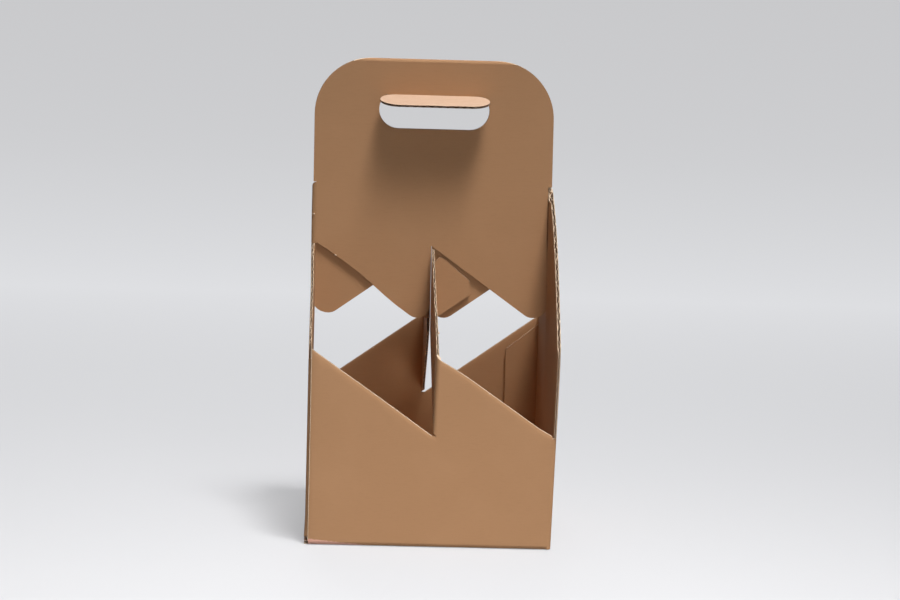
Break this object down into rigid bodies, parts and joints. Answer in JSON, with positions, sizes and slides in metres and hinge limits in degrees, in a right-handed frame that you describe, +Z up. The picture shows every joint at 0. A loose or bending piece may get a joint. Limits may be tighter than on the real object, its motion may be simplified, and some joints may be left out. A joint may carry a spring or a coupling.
{
  "type": "bottle carrier",
  "caption": "Open-topped corrugated board carrier with a bottle cell in each corner, slanting cut edges, dividers and a double centre handle with a hand hole.",
  "frame": {"origin": "centre of the footprint, on the surface the carrier stands on", "axes": "+Z up towards the handle; -Y out of the panel that faces the picture; +X to its right"},
  "size_m": [0.1908, 0.184, 0.3625],
  "materials": {
    "board": "matt unbleached kraft liner, light cut edges"
  },
  "bodies": {
    "root": {"carrier": "board"}
  },
  "joints": []
}
